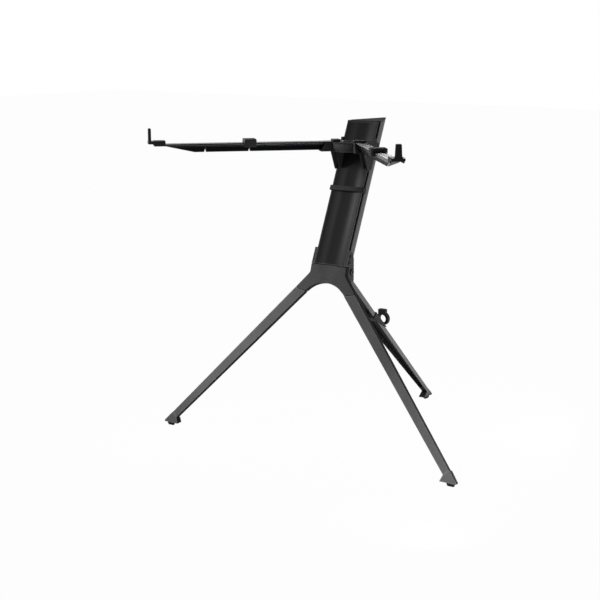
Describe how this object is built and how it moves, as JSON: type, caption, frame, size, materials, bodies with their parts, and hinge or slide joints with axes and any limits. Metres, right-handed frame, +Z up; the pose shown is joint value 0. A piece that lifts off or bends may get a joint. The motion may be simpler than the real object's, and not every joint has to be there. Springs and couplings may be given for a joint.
{
  "type": "keyboard stand",
  "caption": "Column keyboard stand on a folding tripod base, with a sliding tier of splayed arms, rubber pads and end stops.",
  "frame": {"origin": "on the floor, under the middle of the stand's bounding box", "axes": "+X to the player's right, +Y away from the player, +Z up"},
  "size_m": [0.8822, 0.7852, 0.8094],
  "materials": {
    "black_anodised_column": "satin black anodising",
    "grey_textured_coat": "fine textured powder coat",
    "black_casting": "black coat, semi matt",
    "gloss_black_arm": "smooth black, glossy",
    "black_plastic": "moulded, matt",
    "black_rubber": "matt",
    "dark_steel": "black oxide"
  },
  "bodies": {
    "frame": {"column": "black_anodised_column", "column_top_cap": "black_plastic", "front_yoke": "grey_textured_coat", "left_front_leg": "grey_textured_coat", "right_front_leg": "grey_textured_coat", "left_foot_cap": "grey_textured_coat", "right_foot_cap": "grey_textured_coat", "left_foot_pad": "black_rubber", "right_foot_pad": "black_rubber", "rear_bracket": "black_casting", "pivot_pin": "dark_steel", "pivot_spacers": "black_plastic", "bracket_screws": "dark_steel", "yoke_screws": "dark_steel", "leg_screws": "dark_steel"},
    "rear_leg": {"rear_leg": "grey_textured_coat", "rear_foot_cap": "grey_textured_coat", "rear_foot_pad": "black_rubber", "cable_ring": "black_plastic"},
    "tier": {"tier_bracket": "black_casting", "left_arm": "gloss_black_arm", "right_arm": "gloss_black_arm", "left_arm_plug": "black_plastic", "right_arm_plug": "black_plastic", "left_inner_pad": "black_rubber", "right_inner_pad": "black_rubber", "arm_screws": "dark_steel"},
    "left_pad": {"left_mid_pad": "black_rubber"},
    "right_pad": {"right_mid_pad": "black_rubber"},
    "left_stop": {"left_end_stop": "black_plastic"},
    "right_stop": {"right_end_stop": "black_plastic"},
    "band": {"stop_band": "black_plastic"}
  },
  "joints": [
    {"name": "rear_leg_fold", "type": "hinge", "parent": "frame", "child": "rear_leg", "pos_m": [0, -0.09753, 0.44291], "axis": [-1, 0, 0], "range_deg": [0, 62]},
    {"name": "tier_slide", "type": "slide", "parent": "frame", "child": "tier", "axis": [0, 0.3971, 0.9178], "range_m": [-0.038, 0.045]},
    {"name": "stop_band_slide", "type": "slide", "parent": "frame", "child": "band", "axis": [0, 0.3971, 0.9178], "range_m": [-0.13, 0]},
    {"name": "left_pad_slide", "type": "slide", "parent": "tier", "child": "left_pad", "axis": [-0.6858, -0.7278, 0], "range_m": [-0.11, 0.06]},
    {"name": "right_pad_slide", "type": "slide", "parent": "tier", "child": "right_pad", "axis": [0.6858, -0.7278, 0], "range_m": [-0.11, 0.06]},
    {"name": "left_stop_slide", "type": "slide", "parent": "tier", "child": "left_stop", "axis": [-0.6858, -0.7278, 0], "range_m": [-0.08, 0]},
    {"name": "right_stop_slide", "type": "slide", "parent": "tier", "child": "right_stop", "axis": [0.6858, -0.7278, 0], "range_m": [-0.08, 0]}
  ]
}
